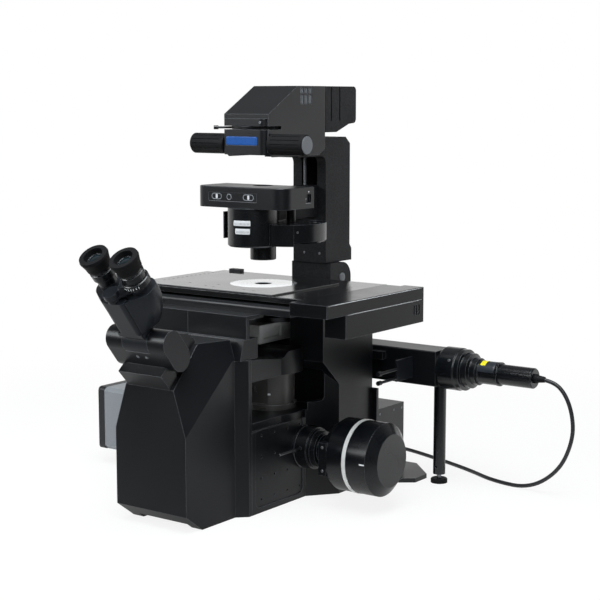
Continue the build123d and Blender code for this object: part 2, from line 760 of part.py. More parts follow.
def tube_neck():
    body = Pos(0, 0, 0) * Rot(0, 90, 0) * Cylinder(drum_round, 2 * hub_half)
    body += Rot(0, 90, 0) * Cylinder(pin_radius, 2 * hub_half + 12)
    body += block((-22, 22), (-13, 13), (10, prism_z[0] - 4))
    body += block((-25, 25), (hinge_back - 9.5, 16), (prism_z[0] - 8, prism_z[0] - 1))
    column = block((-23, 23), (hinge_back - 9.5, hinge_back + 3), (prism_z[0] - 1, prism_z[1]))
    column = fillet(column.edges().filter_by(Axis.Z).group_by(Axis.Y)[0], 8)
    body += column
    body += upright(0, hinge_back, (prism_z[1], prism_z[1] + 8), hinge_radius)
    body += upright(0, hinge_back, (prism_z[1] + 8, prism_z[1] + 17), 13)
    return tube_frame * body


def prism_section(x, y, z, radius):
    """A round section of the right housing, drawn out along a tangent to its corner at the hinge column."""
    to_corner = Vector(prism_corner[0] - x, prism_corner[1] - y)
    angle = atan2(to_corner.Y, to_corner.X) + acos(radius / to_corner.length)
    touch = (x + radius * cos(angle), y + radius * sin(angle))
    nose = make_face(Polyline((x, y), prism_corner, touch, close=True))
    return Pos(0, 0, z) * (Pos(x, y) * Circle(radius) + nose)


def prism(side):
    sections = [prism_section(23, 17, prism_z[0], 16), prism_section(29, 21, prism_z[0] + 26, 23.5),
                prism_section(eye_half, eye_back, prism_z[1], 25)]
    body = loft(Sketch() + sections)
    if side < 0:
        body = mirror(body, Plane.YZ)
    low = prism_z[1] + slide_gap + (4 if side > 0 else 0)
    lug_z = (low, low + 3.4)
    lug = upright(0, hinge_back, lug_z, 11)
    dx, dy = side * eye_half, eye_back - hinge_back
    length = hypot(dx, dy)
    nx, ny = -dy / length * 9, dx / length * 9
    strap = [(nx, hinge_back + ny), (dx * 0.75 + nx, hinge_back + dy * 0.75 + ny),
             (dx * 0.75 - nx, hinge_back + dy * 0.75 - ny), (-nx, hinge_back - ny)]
    lug += plan_cut(strap, lug_z)
    lug -= upright(0, hinge_back, lug_z, hinge_radius + fit_gap)
    body += lug
    post = (prism_z[1], prism_z[1] + 9)
    body += upright(side * eye_half, eye_back, post, 16)
    return tube_frame * body


def diopter_ring():
    low = prism_z[1] + 9 + slide_gap
    outline = [(0, low), (20, low), (22, low + 1.5), (22, low + 11), (20.5, low + 12), (0, low + 12)]
    body = turned(outline) - upright(0, 0, (low, low + 12), 12 + fit_gap)
    return tube_frame * Pos(eye_half, eye_back, 0) * body


def eyepiece(side):
    low = prism_z[1] + 9
    ring = low + 12 + 2 * slide_gap
    sleeve = 12 if side > 0 else 16
    outline = [(0, low), (sleeve, low), (sleeve, ring), (19, ring), (19.6, ring + 12), (18, ring + 13),
               (18, eye_top - 17), (0, eye_top - 17)]
    return tube_frame * Pos(side * eye_half, eye_back, 0) * turned(outline)


def eyecup(side):
    low = eye_top - 17
    outline = [(18, low - 6), (20.5, low - 6), (21.5, low + 2), (24.5, eye_top - 4), (23.5, eye_top),
               (16, eye_top), (14, low + 5), (14, low), (18, low)]
    return tube_frame * Pos(side * eye_half, eye_back, 0) * turned(outline)


# Side ports and cameras
def port_ring():
    step = port_length - 6
    outline = [(0, 0), (port_radius, 0), (port_radius, 4), (port_radius - 1.2, 4.5), (port_radius - 1.2, step),
               (port_radius - 4, step), (port_radius - 4, port_length), (0, port_length)]
    body = turned_x(outline, port_x, port_y, port_z)
    clamp = Pos(core_half + 14, port_y - port_radius + 3, port_z + 5) * Rot(90, 0, 0)
    body += clamp * Pos(0, 0, clamp_length / 2) * Cylinder(1.8, clamp_length)
    return body + clamp * Pos(0, 0, 9) * Cylinder(3.2, 18)


def camera_neck():
    outline = [(0, 0), (31, 0), (31, 9), (25, 10), (25, 21), (29, 21), (29, 26), (23, 27), (23, neck_length),
               (0, neck_length)]
    return turned_x(outline, port_x + port_length, port_y, port_z)


def camera_drum():
    outline = [(0, 0), (drum_radius - 26, 0), (drum_radius - 10, 9), (drum_radius, 24),
               (drum_radius, drum_length), (0, drum_length)]
    body = turned_x(outline, drum_x, port_y, port_z)
    boss = block((drum_x + 6, drum_x + 22), (port_y - drum_radius + 3, port_y - drum_radius / 2),
                 (port_z - 28, port_z + 28))
    return body + boss


def camera_ring():
    outline = [(0, 0), (drum_radius + 0.8, 0), (drum_radius + 0.8, drum_ring), (0, drum_ring)]
    return turned_x(outline, drum_x + drum_length, port_y, port_z)


def camera_cap():
    outline = [(0, 0), (drum_radius, 0), (drum_radius, 38), (drum_radius - 17.5, 52), (0, 52)]
    return turned_x(outline, drum_x + drum_length + drum_ring, port_y, port_z)


def left_port():
    length = -camera_x[1] - port_x
    outline = [(0, 0), (port_radius, 0), (port_radius, 20), (30, 22), (30, 70), (25, 72), (25, length),
               (0, length)]
    return Pos(-port_x, port_y, port_z) * Rot(0, -90, 0) * turned(outline)


def left_camera():
    body = block((camera_x[0], camera_x[1]), (-camera_half_y, camera_half_y),
                 (port_z - camera_half_z, port_z + camera_half_z))
    body = chamfer(body.edges().filter_by(Axis.X), 7)
    return chamfer(body.edges().group_by(Axis.X)[0], 4)


# Illuminator arm
def arm_housing():
    y = (arm_y - arm_half_y, arm_y + arm_half_y)
    z = (arm_z - arm_half_z, arm_z + arm_half_z)
    body = block((tower_half, arm_end_x), y, z)
    body = chamfer(body.edges().filter_by(Axis.X), 1.5)
    slot_x = (slider_x[0] - slide_gap, slider_x[1] + slide_gap)
    body -= block(slot_x, (y[0], y[1] - 8), (slider_z[0] - slide_gap, slider_z[1] + slide_gap))
    body += block((106, 132), (y[0] - 11, y[0]), (arm_z + 8, arm_z + 22))
    return body


def arm_slider():
    front = arm_y - arm_half_y - slider_reach
    x = sum(slider_x) / 2
    body = block(slider_x, (front, arm_y + arm_half_y - 9), slider_z)
    for z in (arm_z + 2, arm_z - 14):
        body += Pos(x, front - 27, z) * Rot(90, 0, 0) * Cylinder(2.6, 58)
        body += Pos(x, front - 54, z) * Rot(90, 0, 0) * Cylinder(4, 9)
    return body


def arm_collar():
    outline = [(0, 0), (29, 0), (29, 5), (37, 6), (38, 8), (38, 38), (36.5, 40), (36.5, 49), (31, 50),
               (31, collar_length - 13), (24, collar_length - 11), (24, collar_length), (0, collar_length)]
    return turned_x(outline, arm_end_x, arm_y, arm_z)


def label_tube():
    outline = [(0, 0), (21.5, 0), (21.5, 4), (20.3, 5), (20.3, label_length - 5), (21, label_length - 4),
               (21, label_length), (0, label_length)]
    return turned_x(outline, arm_end_x + collar_length, arm_y, arm_z)


def arm_lamp():
    outline = [(0, 0), (17.8, 0), (17.8, lamp_length - 2), (16.3, lamp_length), (0, lamp_length)]
    return turned_x(outline, lamp_end_x - lamp_length, arm_y, arm_z)


def leg():
    body = upright(leg_x, arm_y, (leg_low, arm_z - arm_half_z), leg_radius)
    body -= upright(leg_x, arm_y, (leg_low, leg_low + 30), stem_radius + fit_gap)
    return body - Pos(leg_x, arm_y - leg_radius, leg_low + 14) * Rot(90, 0, 0) * Cylinder(2, 8)


def leg_foot():
    body = upright(leg_x, arm_y, (0, 8), 15)
    body = chamfer(body.edges().group_by(Axis.Z)[-1], 1.5)
    return body + upright(leg_x, arm_y, (8, leg_low + 22), stem_radius)


# Cable
def cable_gland():
    outline = [(0, 0), (8, 0), (8, 4), (6.5, 6), (5, 18), (cable_radius, 18), (cable_radius, 4), (0, 4)]
    return turned_x(outline, lamp_end_x, arm_y, arm_z)


def cable_route():
    x, y = coil_place
    return [(lamp_end_x + 4, arm_y, arm_z), (446, arm_y, arm_z), (470, 219, 196), (486, 221, 160),
            (485, 230, 112), (452, 248, 48), (388, 262, cable_radius), (310, 272, cable_radius),
            (240, 312, cable_radius), (150, 350, cable_radius), (55, 384, cable_radius),
            (x, y + coil_turns[1], cable_radius)]


def route_radii(points):
    """The largest arc that the two runs at each inner point of a route allow."""
    radii = []
    for before, here, after in zip(points, points[1:], points[2:]):
        first, second = Vector(*here) - Vector(*before), Vector(*after) - Vector(*here)
        turn = radians(first.get_angle(second))
        radii.append(0.45 * min(first.length, second.length) / tan(turn / 2))
    return radii


def cable():
    points = cable_route()
    path = FilletPolyline(*points, radius=route_radii(points))
    section = Plane(path @ 0, z_dir=path % 0) * Circle(cable_radius)
    return sweep(section, path) - coil_ring()


def coil_ring():
    x, y = coil_place
    z = (0, 2 * cable_radius * coil_layers)
    ring = upright(x, y, z, coil_turns[1] + cable_radius)
    return ring - upright(x, y, z, coil_turns[0] - cable_radius)


def cable_coil():
    x, y = coil_place
    tail = crosswise((x, x + 46), y - coil_turns[1], plug_radius, cable_radius)
    return coil_ring() + tail


def cable_plug():
    outline = [(0, 0), (6, 0), (7, 10), (plug_radius, 12), (plug_radius, 34), (8.5, 35), (8.5, 46), (7, 46),
               (7, 38), (0, 38)]
    return turned_x(outline, coil_place[0] + 46, coil_place[1] - coil_turns[1], plug_radius)


nodes = {
    "frame_front": frame_front(), "frame_core": frame_core(), "frame_rear": frame_rear(),
    "turret_band": turret_band(), "stage_wall": stage_wall(), "foot_plate": foot_plate(),
    "rear_box": rear_box(), "stage_base": stage_base(), "stage_deck": stage_deck(), "deck_stop": deck_stop(),
    "stage_drive": stage_drive(), "stage_carriage": stage_carriage(), "stage_table": stage_table(),
    "stage_insert": stage_insert(), "focus_unit": focus_unit(), "nosepiece": nosepiece(),
    "filter_turret": filter_turret(), "hinge_block": hinge_block(), "pillar": pillar(),
    "pillar_rod": pillar_rod(), "lamp_hood": lamp_hood(), "field_stop": field_stop(),
    "field_ring": field_ring(), "lamp_house": lamp_house(),
    "condenser_carriage": condenser_carriage(), "condenser_head": condenser_head(),
    "condenser_drum": condenser_drum(), "condenser_lens": condenser_lens(),
    "condenser_wheel": condenser_wheel(), "condenser_knob": condenser_knob(),
    "tube_mount": tube_mount(), "tube_drum": tube_drum(), "tube_neck": tube_neck(),
    "diopter_ring": diopter_ring(), "port_ring": port_ring(), "camera_neck": camera_neck(),
    "camera_drum": camera_drum(), "camera_ring": camera_ring(), "camera_cap": camera_cap(),
    "left_port": left_port(), "left_camera": left_camera(), "arm_housing": arm_housing(),
    "arm_slider": arm_slider(), "arm_collar": arm_collar(), "label_tube": label_tube(),
    "arm_lamp": arm_lamp(), "leg": leg(), "leg_foot": leg_foot(), "cable_gland": cable_gland(),
}
for name, side in (("left", -1), ("right", 1)):
    nodes["prism_" + name] = prism(side)
    nodes["eyepiece_" + name] = eyepiece(side)
    nodes["eyecup_" + name] = eyecup(side)
    nodes["grip_" + name] = grip(side)

# The finished part stands on Z = 0 with the middle of its plan at X = Y = 0, cable not counted.
boxes = [shape.bounding_box() for shape in nodes.values()]
middle_x = (min(box.min.X for box in boxes) + max(box.max.X for box in boxes)) / 2
middle_y = (min(box.min.Y for box in boxes) + max(box.max.Y for box in boxes)) / 2
to_frame = Pos(-middle_x, -middle_y, 0)
print("optical axis at", round(-middle_x, 3), round(-middle_y, 3))
nodes.update(cable=cable(), cable_coil=cable_coil(), cable_plug=cable_plug())
for name, shape in nodes.items():
    export_step(to_frame * shape, "parts/" + name + ".step")
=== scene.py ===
import math

import bmesh
import bpy
import numpy as np
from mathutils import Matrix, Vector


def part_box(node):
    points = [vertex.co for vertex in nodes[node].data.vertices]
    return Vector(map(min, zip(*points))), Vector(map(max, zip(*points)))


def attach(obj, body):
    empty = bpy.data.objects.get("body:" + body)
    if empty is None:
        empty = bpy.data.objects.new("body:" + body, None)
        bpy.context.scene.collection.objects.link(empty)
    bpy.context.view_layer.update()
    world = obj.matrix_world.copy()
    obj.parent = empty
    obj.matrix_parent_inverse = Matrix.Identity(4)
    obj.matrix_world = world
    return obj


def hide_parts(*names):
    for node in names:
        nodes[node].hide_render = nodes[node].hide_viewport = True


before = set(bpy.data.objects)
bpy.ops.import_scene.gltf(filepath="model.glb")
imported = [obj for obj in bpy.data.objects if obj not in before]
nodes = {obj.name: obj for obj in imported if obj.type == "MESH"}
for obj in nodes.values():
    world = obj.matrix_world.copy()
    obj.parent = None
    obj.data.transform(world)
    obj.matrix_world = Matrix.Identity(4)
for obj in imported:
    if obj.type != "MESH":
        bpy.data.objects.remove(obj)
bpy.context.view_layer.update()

# Places below are millimetres from the optical axis, which is the middle of the stage insert.
insertLow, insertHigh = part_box("stage_insert")
opticalAxis = np.array([(insertLow.x + insertHigh.x) / 2, (insertLow.y + insertHigh.y) / 2, 0.0])


def inMetres(points):
    return np.asarray(points, float) / 1000 + opticalAxis


# sRGB hex to linear, each channel by the sRGB curve
def linear(hexColour):
    value = np.array([int(hexColour[i:i + 2], 16) / 255 for i in (1, 3, 5)])
    value = np.where(value <= 0.04045, value / 12.92, ((value + 0.055) / 1.055) ** 2.4)
    return (*value.tolist(), 1.0)


# Camera: fitted to the photograph's vertical and level edges
viewpoint = {"place": (1.485354, -1.909970, 0.683660), "round": 36.2115, "down": 7.93793,
             "lens": 86.513, "sensor": 36.0, "farthest": 50.0}
cameraData = bpy.data.cameras.new("photo_camera")
cameraData.lens = viewpoint["lens"]
cameraData.sensor_width = viewpoint["sensor"]
cameraData.clip_end = viewpoint["farthest"]
camera = bpy.data.objects.new("photo_camera", cameraData)
camera.location = viewpoint["place"]
camera.rotation_euler = (math.radians(90 - viewpoint["down"]), 0, math.radians(viewpoint["round"]))
bpy.context.collection.objects.link(camera)
bpy.context.scene.camera = camera
bpy.context.scene.view_settings.view_transform = "Standard"


def addNode(tree, kind, inputs=None, **settings):
    node = tree.nodes.new("ShaderNode" + kind)
    for key, value in settings.items():
        setattr(node, key, value)
    for key, value in (inputs or {}).items():
        if isinstance(value, bpy.types.NodeSocket):
            tree.links.new(value, node.inputs[key])
        else:
            node.inputs[key].default_value = value
    return node


noiseSpan = (0.3, 0.7)  # a noise stays mostly between these
wearGlintSpan = (0.995, 0.8)  # cosines of an edge's turn, from where the paler edge of wear and painted highlight starts to where it is full
grainStrength = 0.6
edgeSamples = 6
shaderSockets = {"metallic": "Metallic", "specular": "Specular IOR Level", "ior": "IOR", "coat": "Coat Weight"}


# A finish: colour flecked by a noise at the grain's real size, roughness that drifts over a hand's width,
# the same grain as relief, and edges rounded over a real edge radius, painted paler as wear and painted
# highlight.
def makeFinish(finish):
    material = bpy.data.materials.new(finish["name"])
    material.use_nodes = True
    tree = material.node_tree
    tree.nodes.clear()
    spot = addNode(tree, "TexCoord").outputs["Object"]
    grain = addNode(tree, "TexNoise", {"Vector": spot, "Scale": 1000 / finish["grainMm"], "Detail": 3.0})
    drift = addNode(tree, "TexNoise", {"Vector": spot, "Scale": 1000 / finish["driftMm"], "Detail": 2.0})
    fleck = addNode(tree, "ValToRGB", {"Fac": grain.outputs["Fac"]})
    for stop, place, shade in zip(fleck.color_ramp.elements, noiseSpan, finish["colours"]):
        stop.position = place
        stop.color = linear(shade)
    colour = fleck.outputs["Color"]
    relief = addNode(tree, "Bump", {"Height": grain.outputs["Fac"], "Strength": grainStrength,
                                    "Distance": finish["reliefMm"] / 1000})
    if "edgeMm" in finish:
        rounded = addNode(tree, "Bevel", {"Radius": finish["edgeMm"] / 1000}, samples=edgeSamples)
        face = addNode(tree, "NewGeometry")
        turn = addNode(tree, "VectorMath", {0: rounded.outputs["Normal"], 1: face.outputs["Normal"]},
                       operation="DOT_PRODUCT")
        # painted highlight: the paler colour along rounded edges is partly wear and partly the glint of light on
        # the edge
        wearGlint = addNode(tree, "MapRange", {"Value": turn.outputs["Value"], "From Min": wearGlintSpan[0],
                                         "From Max": wearGlintSpan[1], "To Max": finish["wearGlint"]})
        edgeWearGlint = addNode(tree, "Mix", {0: wearGlint.outputs["Result"], 6: colour, 7: linear(finish["wearGlintColour"])},
                       data_type="RGBA")
        colour = edgeWearGlint.outputs[2]
        tree.links.new(rounded.outputs["Normal"], relief.inputs["Normal"])
    shine = addNode(tree, "MapRange", {"Value": drift.outputs["Fac"], "From Min": noiseSpan[0],
                                       "From Max": noiseSpan[1], "To Min": finish["rough"][0],
                                       "To Max": finish["rough"][1]})
    shader = addNode(tree, "BsdfPrincipled", {"Base Color": colour, "Roughness": shine.outputs["Result"],
                                              "Normal": relief.outputs["Normal"]})
    for word, socket in shaderSockets.items():
        if word in finish:
            shader.inputs[socket].default_value = finish[word]
    addNode(tree, "OutputMaterial", {"Surface": shader.outputs["BSDF"]})
    return material


# Satin powder coat on cast aluminium: near black, a soft sheen that lifts at low angles
satinCoat = makeFinish({
    "name": "satin_powder_coat", "colours": ("#0A0C0F", "#101216"), "grainMm": 0.9, "driftMm": 120,
    "reliefMm": 0.03, "rough": (0.32, 0.4), "ior": 1.5,
    "edgeMm": 1.0, "wearGlintColour": "#83868B", "wearGlint": 0.6})
# Sprayed crinkle enamel: a sandy grain that breaks up every highlight, drawn twice as coarse as real
crinkleCoat = makeFinish({
    "name": "crinkle_enamel", "colours": ("#060607", "#242528"), "grainMm": 2.4, "driftMm": 90,
    "reliefMm": 0.4, "rough": (0.5, 0.6), "specular": 0.25, "ior": 1.5,
    "edgeMm": 0.8, "wearGlintColour": "#3B3C3E", "wearGlint": 0.4})
# Hard-anodised stage plate: fine ground surface, mirrors the room at low angles
stageCoat = makeFinish({
    "name": "hard_anodised_stage", "colours": ("#0D0D0E", "#121214"), "grainMm": 0.6, "driftMm": 160,
    "reliefMm": 0.004, "rough": (0.15, 0.2), "ior": 1.8,
    "edgeMm": 0.7, "wearGlintColour": "#8C8E92", "wearGlint": 0.8})
# Eggshell lacquer on the drive wing: dark sides, a soft grey top
wingCoat = makeFinish({
    "name": "eggshell_lacquer", "colours": ("#0D0E0F", "#131416"), "grainMm": 0.8, "driftMm": 120,
    "reliefMm": 0.01, "rough": (0.2, 0.27), "specular": 0.22, "ior": 1.45,
    "edgeMm": 0.8, "wearGlintColour": "#7E8186", "wearGlint": 0.7})
# Black anodised turned aluminium: a bluish black with a long soft highlight
turnedBlack = makeFinish({
    "name": "black_anodised_turning", "colours": ("#07090C", "#0D1014"), "grainMm": 0.8, "driftMm": 70,
    "reliefMm": 0.012, "rough": (0.22, 0.3), "ior": 1.6,
    "edgeMm": 0.6, "wearGlintColour": "#8E9298", "wearGlint": 0.6})
# Satin paint on the tube head and the slider plate: a bluish dark grey
tubeCoat = makeFinish({
    "name": "satin_blue_grey_paint", "colours": ("#14171C", "#1A1E24"), "grainMm": 0.8, "driftMm": 80,
    "reliefMm": 0.012, "rough": (0.34, 0.42), "ior": 1.5,
    "edgeMm": 0.7, "wearGlintColour": "#50545B", "wearGlint": 0.4})
# Moulded black ABS with a spark-eroded grain: soft, slightly grey
mouldedBlack = makeFinish({
    "name": "moulded_black_abs", "colours": ("#141517", "#1E1F22"), "grainMm": 1.1, "driftMm": 100,
    "reliefMm": 0.05, "rough": (0.4, 0.5), "specular": 0.45, "ior": 1.54,
    "edgeMm": 0.6, "wearGlintColour": "#3E4044", "wearGlint": 0.5})
# Moulded rubber: matt, takes dust
mattRubber = makeFinish({
    "name": "moulded_rubber", "colours": ("#08080A", "#101012"), "grainMm": 1.4, "driftMm": 60,
    "reliefMm": 0.06, "rough": (0.55, 0.7), "specular": 0.22, "ior": 1.52,
    "edgeMm": 0.5, "wearGlintColour": "#2A2A2C", "wearGlint": 0.4})
# Light grey stoving enamel on the box camera and the panel's outlines: even, with a soft sheen
greyEnamel = makeFinish({
    "name": "light_grey_enamel", "colours": ("#7C8084", "#868A8E"), "grainMm": 1.0, "driftMm": 140,
    "reliefMm": 0.03, "rough": (0.38, 0.46), "ior": 1.5,
    "edgeMm": 0.7, "wearGlintColour": "#C8CBCF", "wearGlint": 0.5})
# White glazed disc: clean and glossy
whiteGlaze = makeFinish({
    "name": "white_glazed_disc", "colours": ("#EEF2F6", "#F6F9FC"), "grainMm": 2.0, "driftMm": 60,
    "reliefMm": 0.004, "rough": (0.12, 0.18), "ior": 1.52, "coat": 1.0,
    "edgeMm": 0.3, "wearGlintColour": "#F4F7FA", "wearGlint": 0.4})
# Ground steel rod and screws: a fine grain that softens the highlight
groundSteel = makeFinish({
    "name": "ground_steel", "colours": ("#8E9094", "#A6A8AC"), "grainMm": 0.7, "driftMm": 40,
    "reliefMm": 0.01, "rough": (0.34, 0.42), "metallic": 1.0,
    "edgeMm": 0.3, "wearGlintColour": "#C8CACE", "wearGlint": 0.5})
# Satin chrome on the objective barrels and the revolving plate: a dull silver
noseMetal = makeFinish({
    "name": "satin_chromed_brass", "colours": ("#6E7074", "#7C7E82"), "grainMm": 0.5, "driftMm": 40,
    "reliefMm": 0.01, "rough": (0.3, 0.38), "metallic": 1.0,
    "edgeMm": 0.4, "wearGlintColour": "#B8BABE", "wearGlint": 0.5})
# Extruded PVC sheath: plain satin black
sheathPvc = makeFinish({
    "name": "extruded_pvc_sheath", "colours": ("#1B1C1E", "#232427"), "grainMm": 1.5, "driftMm": 30,
    "reliefMm": 0.02, "rough": (0.4, 0.48), "ior": 1.53})
# Coated crown glass: dark inside, a faint green-blue skin of coating
coatedGlass = makeFinish({
    "name": "coated_crown_glass", "colours": ("#101A1E", "#16242A"), "grainMm": 8.0, "driftMm": 20,
    "reliefMm": 0.0005, "rough": (0.03, 0.05), "specular": 0.7, "ior": 1.52, "coat": 0.6})
# Printed ink: pale grey, flat; the same pale grey also paints the highlight strips along the drive wing
paleInk = makeFinish({
    "name": "screen_printed_ink", "colours": ("#C9CBCD", "#DCDEE0"), "grainMm": 0.8, "driftMm": 20,
    "reliefMm": 0.004, "rough": (0.45, 0.55), "ior": 1.5})
# Blue enamelled plate, left bare: a deep even blue
blueEnamel = makeFinish({
    "name": "blue_enamel_plate", "colours": ("#034489", "#064C96"), "grainMm": 1.2, "driftMm": 40,
    "reliefMm": 0.01, "rough": (0.3, 0.38), "specular": 0.4, "ior": 1.52,
    "edgeMm": 0.3, "wearGlintColour": "#3A74C4", "wearGlint": 0.5})
# Yellow vinyl patch and slate vinyl label, both left bare: flat colour with a slight gloss
yellowVinyl = makeFinish({
    "name": "yellow_vinyl_patch", "colours": ("#E3D50C", "#EFE11C"), "grainMm": 1.5, "driftMm": 30,
    "reliefMm": 0.01, "rough": (0.35, 0.42), "ior": 1.5})
slateVinyl = makeFinish({
    "name": "slate_vinyl_label", "colours": ("#23272D", "#2B3037"), "grainMm": 1.2, "driftMm": 30,
    "reliefMm": 0.01, "rough": (0.28, 0.36), "ior": 1.5})
# Dark bronze anodising on the filter turret: a warm grey with a soft highlight
bronzeAnodised = makeFinish({
    "name": "dark_bronze_anodising", "colours": ("#484644", "#53504E"), "grainMm": 0.6, "driftMm": 60,
    "reliefMm": 0.008, "rough": (0.26, 0.34), "specular": 0.6, "ior": 1.6,
    "edgeMm": 0.8, "wearGlintColour": "#9A9C9F", "wearGlint": 0.8})
# Pale grey paint on the focus unit, which stands in the shade of the stage
greyPaint = makeFinish({
    "name": "pale_grey_paint", "colours": ("#C4C4C2", "#CECECC"), "grainMm": 1.0, "driftMm": 60,
    "reliefMm": 0.02, "rough": (0.4, 0.5), "ior": 1.5,
    "edgeMm": 0.6, "wearGlintColour": "#E0E0DE", "wearGlint": 0.6})
# Silver lacquer on the camera's band: pale and even
silverLacquer = makeFinish({
    "name": "silver_lacquer", "colours": ("#E4E4E1", "#EEEEEB"), "grainMm": 0.4, "driftMm": 50,
    "reliefMm": 0.005, "rough": (0.3, 0.38), "metallic": 0.25, "ior": 1.5,
    "edgeMm": 0.4, "wearGlintColour": "#F0F1F3", "wearGlint": 0.5})
# Grey moulded end caps and grille bars: a soft mid grey
greyMoulding = makeFinish({
    "name": "moulded_grey_abs", "colours": ("#5C6064", "#686C70"), "grainMm": 0.9, "driftMm": 40,
    "reliefMm": 0.03, "rough": (0.38, 0.46), "ior": 1.54,
    "edgeMm": 0.4, "wearGlintColour": "#8A8E92", "wearGlint": 0.5})

finishOf = {
    satinCoat: ("frame_front frame_core frame_rear turret_band stage_wall foot_plate rear_box tube_mount "
                "tube_drum lamp_hood field_stop condenser_head arm_housing stage_carriage stage_base").split(),
    crinkleCoat: "pillar hinge_block lamp_house condenser_carriage".split(),
    stageCoat: ["stage_deck", "stage_table"],
    wingCoat: ["stage_drive"],
    greyPaint: ["focus_unit"],
    bronzeAnodised: ["filter_turret"],
    tubeCoat: "tube_neck prism_left prism_right arm_slider".split(),
    turnedBlack: ("diopter_ring eyepiece_left eyepiece_right condenser_drum condenser_lens condenser_wheel "
                  "condenser_knob port_ring camera_neck camera_drum camera_cap left_port arm_collar label_tube "
                  "arm_lamp leg field_ring").split(),
    mattRubber: "eyecup_left eyecup_right grip_left grip_right leg_foot cable_gland".split(),
    mouldedBlack: ["cable_plug", "deck_stop"],
    greyEnamel: ["left_camera"],
    whiteGlaze: ["stage_insert"],
    groundSteel: ["pillar_rod"],
    silverLacquer: ["camera_ring"],
    noseMetal: ["nosepiece"],
}
for material, names in finishOf.items():
    for name in names:
        for materialSlot in nodes[name].material_slots:
            materialSlot.material = material
print("finishes on", sum(len(names) for names in finishOf.values()), "solids")

mergeGap = 2e-6  # metres: points closer than this become one
sharpTurn = math.radians(40)  # faces that meet at more than this keep a crisp edge


# A piece from rings[part, layer, around] in millimetres: quads join each ring to the next and close round it,
# and the first and last ring of every part shrink to their own middle, so each part is a closed skin. Where
# the rings are a band, which comes back to its first ring, there are no ends to shrink.
def makePiece(piece, rings, band=False):
    rings = np.asarray(rings, float)
    rings = rings[None] if rings.ndim == 3 else rings
    if not band:
        ends = np.repeat(rings[:, [0, -1]].mean(axis=2, keepdims=True), rings.shape[2], axis=2)
        rings = np.concatenate([ends[:, :1], rings, ends[:, 1:]], axis=1)
    index = np.arange(rings[..., 0].size).reshape(rings.shape[:3])
    onward = np.roll(index, -1, axis=2)
    quads = np.stack([index[:, :-1], onward[:, :-1], onward[:, 1:], index[:, 1:]], axis=-1).reshape(-1, 4)
    mesh = bpy.data.meshes.new(piece["name"])
    mesh.from_pydata(inMetres(rings.reshape(-1, 3)).tolist(), [], quads.tolist())
    skin = bmesh.new()
    skin.from_mesh(mesh)
    bmesh.ops.remove_doubles(skin, verts=skin.verts, dist=mergeGap)
    bmesh.ops.recalc_face_normals(skin, faces=skin.faces)
    skin.to_mesh(mesh)
    skin.free()
    mesh.shade_smooth()
    mesh.set_sharp_from_angle(angle=sharpTurn)
    mesh.materials.append(piece["finish"])
    thing = bpy.data.objects.new(piece["name"], mesh)
    bpy.context.collection.objects.link(thing)
    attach(thing, piece["body"])
    return thing


# Turned rings: each (radius, height) of the outline is a circle about the axis from start
def turnedRings(outline, start, axis, around=48):
    outline, axis = np.array(outline, float), np.array(axis, float)
    axis = axis / np.linalg.norm(axis)
    # any direction well away from the axis gives one across it
    across = np.cross(axis, (0.0, 0.0, 1.0) if abs(axis[2]) < 0.9 else (1.0, 0.0, 0.0))
    across = across / np.linalg.norm(across)
    angle = np.linspace(0, 2 * np.pi, around, endpoint=False)[:, None]
    circle = np.cos(angle) * across + np.sin(angle) * np.cross(axis, across)
    return np.array(start, float) + outline[:, 1, None, None] * axis + outline[:, 0, None, None] * circle


# Plate rings: a rectangle with round corners, at each (inset, rise) of the edge outline. Points are spread
# evenly along the outline's own length, and the face is filled by rings that shrink to its middle, so that a
# plate can be wrapped round a drum.
def plateRings(size, corner, edge, around=48, fill=(0.8, 0.6, 0.4, 0.2)):
    quarter, perCorner = np.pi / 2, 7
    angle = np.linspace(0, quarter, perCorner) + quarter * np.arange(4)[:, None]
    middle = angle[:, perCorner // 2, None]
    straightX = np.sign(np.cos(middle)) * (size[0] / 2 - corner)
    straightY = np.sign(np.sin(middle)) * (size[1] / 2 - corner)
    rings = []
    for inset, rise in edge:
        across = (straightX + (corner - inset) * np.cos(angle)).ravel()
        upward = (straightY + (corner - inset) * np.sin(angle)).ravel()
        across, upward = np.append(across, across[0]), np.append(upward, upward[0])
        length = np.append(0.0, np.cumsum(np.hypot(np.diff(across), np.diff(upward))))
        step = np.linspace(0, length[-1], around, endpoint=False)
        rings.append(np.stack([np.interp(step, length, across), np.interp(step, length, upward),
                               np.full(around, rise)], axis=-1))
    rings = np.array(rings)
    shrink = np.array(fill, float).reshape(-1, 1, 1) * [1.0, 1.0, 0.0] + np.array([0.0, 0.0, 1.0])
    return np.concatenate([rings[:1] * shrink[::-1], rings, rings[-1:] * shrink])


# Edge of a thin plate: from below its seat up a straight wall, then over a bevel to the top
def thinEdge(sunk, wall, top, bevel=0.1):
    return (0.0, -sunk), (0.0, wall), (bevel, top)


# Edge of a band: up outside, over by the wall's thickness, down inside and back to the start
def bandEdge(low, high, wall):
    return (0.0, low), (0.0, high), (wall, high), (wall, low), (0.0, low)


# Flat plates set on a face: (across, up, out) carried to the face's own three directions
def setOn(rings, centre, across, up):
    across, up = np.array(across, float), np.array(up, float)
    axes = np.stack([across, up, np.cross(across, up)])
    return rings @ axes + np.array(centre, float)


# The same rings at each of several places
def atPlaces(rings, places):
    return rings[None] + np.array(places, float)[:, None, None]


frontFace = ((1, 0, 0), (0, 0, 1))  # across and up, on a face towards the user
rightFace = ((0, 1, 0), (0, 0, 1))
leftFace = ((0, -1, 0), (0, 0, 1))
bothSides = ((-1, "left"), (1, "right"))

# Eyepiece axes: they lean back by the tube's angle, side by side
eyes = {"angle": 53.0, "tilt": (-309.4, 307.0), "half": 31.5, "back": 23.1}
lean = math.radians(eyes["angle"])
eyeUp = np.array([0.0, -math.cos(lean), math.sin(lean)])
eyeBack = np.array([0.0, math.sin(lean), math.cos(lean)])


def eyePoint(side, along):
    return np.array([side * eyes["half"], *eyes["tilt"]]) + eyes["back"] * eyeBack + along * eyeUp


